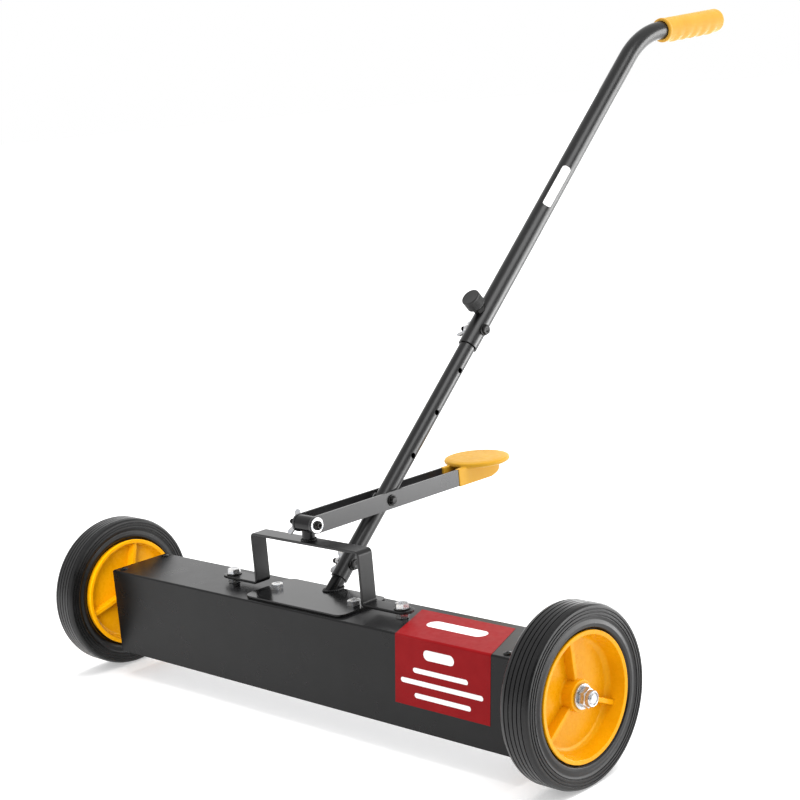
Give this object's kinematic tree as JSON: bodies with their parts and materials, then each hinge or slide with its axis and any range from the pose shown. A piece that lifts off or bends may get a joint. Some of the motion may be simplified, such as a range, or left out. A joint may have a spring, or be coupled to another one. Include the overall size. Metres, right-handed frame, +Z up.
{
  "type": "magnetic nail sweeper",
  "caption": "Two-wheeled push magnetic sweeper: long steel magnet box, telescoping bent handle with grip, and a lever that lifts the inner magnets to drop the nails.",
  "frame": {"origin": "on the floor, midway between the two wheels, under their common axle", "axes": "+X along the box towards the wheel by the label, +Y back towards the handle and the lever's pad, +Z up"},
  "size_m": [0.7398, 0.9046, 0.7184],
  "materials": {
    "powder_coat": "satin dark charcoal powder coat, fine texture",
    "lever_paint": "satin grey powder coat",
    "zinc": "bright zinc plate",
    "black_steel": "black oxide",
    "cover_sheet": "thin non-magnetic stainless sheet",
    "carrier_steel": "plain steel channel",
    "ferrite": "dark grey ceramic magnet",
    "red_label": "plain red film",
    "hub_plastic": "moulded orange-yellow plastic",
    "tyre_rubber": "black rubber",
    "bush_plastic": "black nylon",
    "pad_plastic": "moulded amber plastic",
    "grip_vinyl": "soft amber vinyl",
    "knob_plastic": "black knurled plastic"
  },
  "bodies": {
    "frame": {"housing_shell": "powder_coat", "bottom_cover": "cover_sheet", "end_plate_left": "powder_coat", "end_plate_right": "powder_coat", "end_plate_screws": "black_steel", "axle_bolts": "zinc", "axle_lock_nuts": "zinc", "axle_inner_washers": "zinc", "axle_outer_washers": "zinc", "axle_end_nuts": "zinc", "warning_label": "red_label", "base_plate": "powder_coat", "base_plate_bolts": "zinc", "base_plate_nuts": "zinc", "handle_stub": "powder_coat", "stub_weld": "powder_coat", "handle_lower_tube": "powder_coat", "stub_bolt": "black_steel", "stub_wing_nut": "zinc", "lever_pivot_bolt": "black_steel", "lever_pivot_nut": "black_steel", "lever_pivot_spacers": "zinc", "lock_bolt_core": "black_steel"},
    "wheel_left": {"wheel_hub_left": "hub_plastic", "wheel_tyre_left": "tyre_rubber", "wheel_bush_left": "bush_plastic"},
    "wheel_right": {"wheel_hub_right": "hub_plastic", "wheel_tyre_right": "tyre_rubber", "wheel_bush_right": "bush_plastic"},
    "magnet_lift": {"lift_bracket": "powder_coat", "lift_post": "powder_coat", "lift_post_weld": "powder_coat", "lift_bolts": "zinc", "lift_bolt_washers": "black_steel", "lift_foot_nuts": "zinc", "magnet_carrier": "carrier_steel", "magnets": "ferrite", "carrier_nuts": "zinc"},
    "lever": {"lever_bar_left": "lever_paint", "lever_bar_right": "lever_paint", "lever_pad": "pad_plastic", "lever_pad_rivets": "black_steel", "lever_front_bolt": "black_steel", "lever_front_washer": "zinc", "lever_wing_nut": "zinc"},
    "upper_handle": {"handle_upper_tube": "powder_coat", "handle_grip": "grip_vinyl", "clamp_nut": "black_steel", "lock_bolt": "black_steel", "lock_wing_nut": "zinc"},
    "clamp_screw": {"clamp_screw": "black_steel"},
    "clamp_knob": {"clamp_knob": "knob_plastic"}
  },
  "joints": [
    {"name": "wheel_left_spin", "type": "hinge", "parent": "frame", "child": "wheel_left", "pos_m": [-0.34355, 0, 0.0875], "axis": [1, 0, 0], "continuous": true},
    {"name": "wheel_right_spin", "type": "hinge", "parent": "frame", "child": "wheel_right", "pos_m": [0.34355, 0, 0.0875], "axis": [1, 0, 0], "continuous": true},
    {"name": "lever_press", "type": "hinge", "parent": "frame", "child": "lever", "pos_m": [0, 0.1138, 0.21], "axis": [-1, 0, 0], "range_deg": [0, 15]},
    {"name": "magnets_lift", "type": "slide", "parent": "frame", "child": "magnet_lift", "axis": [0, 0, 1], "range_m": [0, 0.0295]},
    {"name": "handle_length", "type": "slide", "parent": "frame", "child": "upper_handle", "axis": [0, 0.7385, 0.6743], "range_m": [-0.1785, 0]},
    {"name": "clamp_knob_turn", "type": "hinge", "parent": "clamp_screw", "child": "clamp_knob", "pos_m": [0, 0.29225, 0.39867], "axis": [0, -0.6743, 0.7385], "range_deg": [0, 720]},
    {"name": "clamp_screw_travel", "type": "slide", "parent": "upper_handle", "child": "clamp_screw", "axis": [0, -0.6743, 0.7385], "range_m": [0, 0.0025]}
  ],
  "couplings": [
    {"joint": "magnets_lift", "follows": "lever_press", "m_per_rad": 0.11254},
    {"joint": "clamp_screw_travel", "follows": "clamp_knob_turn", "m_per_rad": 0.00019894}
  ]
}
